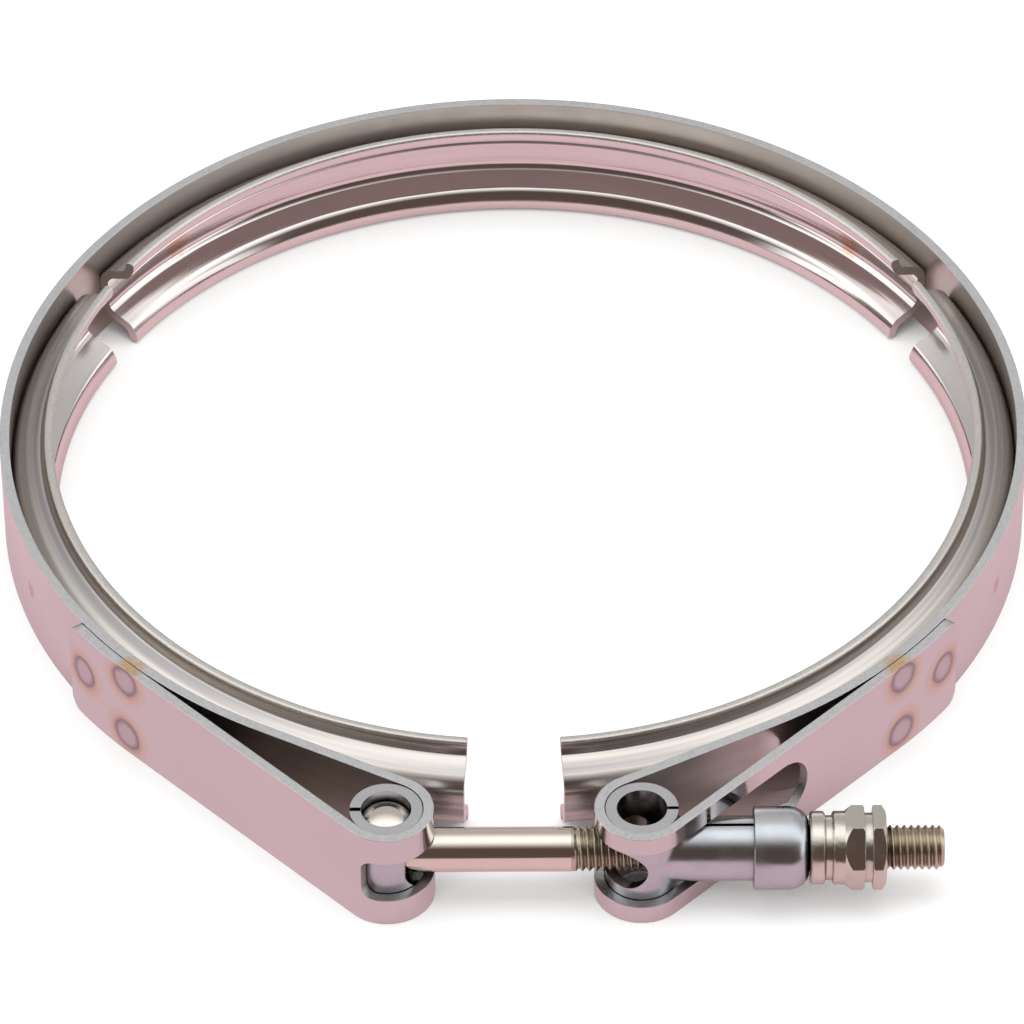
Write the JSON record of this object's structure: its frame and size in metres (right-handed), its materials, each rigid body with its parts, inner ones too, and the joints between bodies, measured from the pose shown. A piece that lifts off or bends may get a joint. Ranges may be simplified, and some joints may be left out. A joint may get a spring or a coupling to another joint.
{
  "type": "v-band clamp",
  "caption": "Round V-band clamp for an exhaust or turbo flange joint: a sprung steel band lined with V channel segments, closed by a T-bolt, a pivoting saddle and a lock nut.",
  "frame": {"origin": "on the clamp's axis, at the middle of the band's width", "axes": "+Z along the axis of the clamp and of the pipe joint; the closing bolt is at -Y and points along +X"},
  "size_m": [0.1914, 0.2083, 0.0204],
  "materials": {
    "band_strip": "rolled stainless strip, faint cross-hatch, heat tint at the spot welds",
    "retainer_sheet": "bright drawn stainless sheet",
    "saddle_sheet": "smooth formed stainless sheet",
    "bolt_steel": "bright turned steel with a warm plating",
    "nut_steel": "bright turned steel"
  },
  "bodies": {
    "band_back": {"outer_band": "band_strip", "v_retainer_back": "retainer_sheet"},
    "left_arm": {"v_retainer_left": "retainer_sheet", "loop_sleeve": "saddle_sheet"},
    "right_arm": {"v_retainer_right": "retainer_sheet"},
    "bolt": {"t_bolt": "bolt_steel"},
    "saddle": {"saddle": "saddle_sheet", "saddle_cap": "saddle_sheet"},
    "washer": {"thrust_washer": "nut_steel"},
    "nut": {"lock_nut": "nut_steel"}
  },
  "joints": [
    {"name": "band_flex_left", "type": "hinge", "parent": "band_back", "child": "left_arm", "pos_m": [-0.0825, 0.0467, 0], "axis": [0, 0, 1], "range_deg": [-1.71, 2.28], "deforming": ["outer_band"]},
    {"name": "band_flex_right", "type": "hinge", "parent": "band_back", "child": "right_arm", "pos_m": [0.0825, 0.0467, 0], "axis": [0, 0, 1], "range_deg": [-2.28, 1.71], "deforming": ["outer_band"]},
    {"name": "bolt_pivot", "type": "hinge", "parent": "left_arm", "child": "bolt", "pos_m": [-0.0225, -0.1042, 0], "axis": [0, 0, 1], "range_deg": [-2.28, 1.71]},
    {"name": "saddle_pivot", "type": "hinge", "parent": "right_arm", "child": "saddle", "pos_m": [0.0225, -0.1042, 0], "axis": [0, 0, 1], "range_deg": [-1.71, 2.28]},
    {"name": "nut_travel", "type": "slide", "parent": "bolt", "child": "washer", "axis": [1, 0, 0], "range_m": [-0.012, 0.009]},
    {"name": "nut_spin", "type": "hinge", "parent": "washer", "child": "nut", "pos_m": [0.06, -0.1042, 0], "axis": [1, 0, 0], "range_deg": [-3456, 2592]}
  ],
  "couplings": [
    {"joint": "nut_travel", "follows": "nut_spin", "m_per_rad": 0.00019894},
    {"joint": "band_flex_left", "follows": "nut_spin", "ratio": -0.00065919},
    {"joint": "band_flex_right", "follows": "nut_spin", "ratio": 0.00065919},
    {"joint": "bolt_pivot", "follows": "nut_spin", "ratio": 0.00065919},
    {"joint": "saddle_pivot", "follows": "nut_spin", "ratio": -0.00065919}
  ]
}
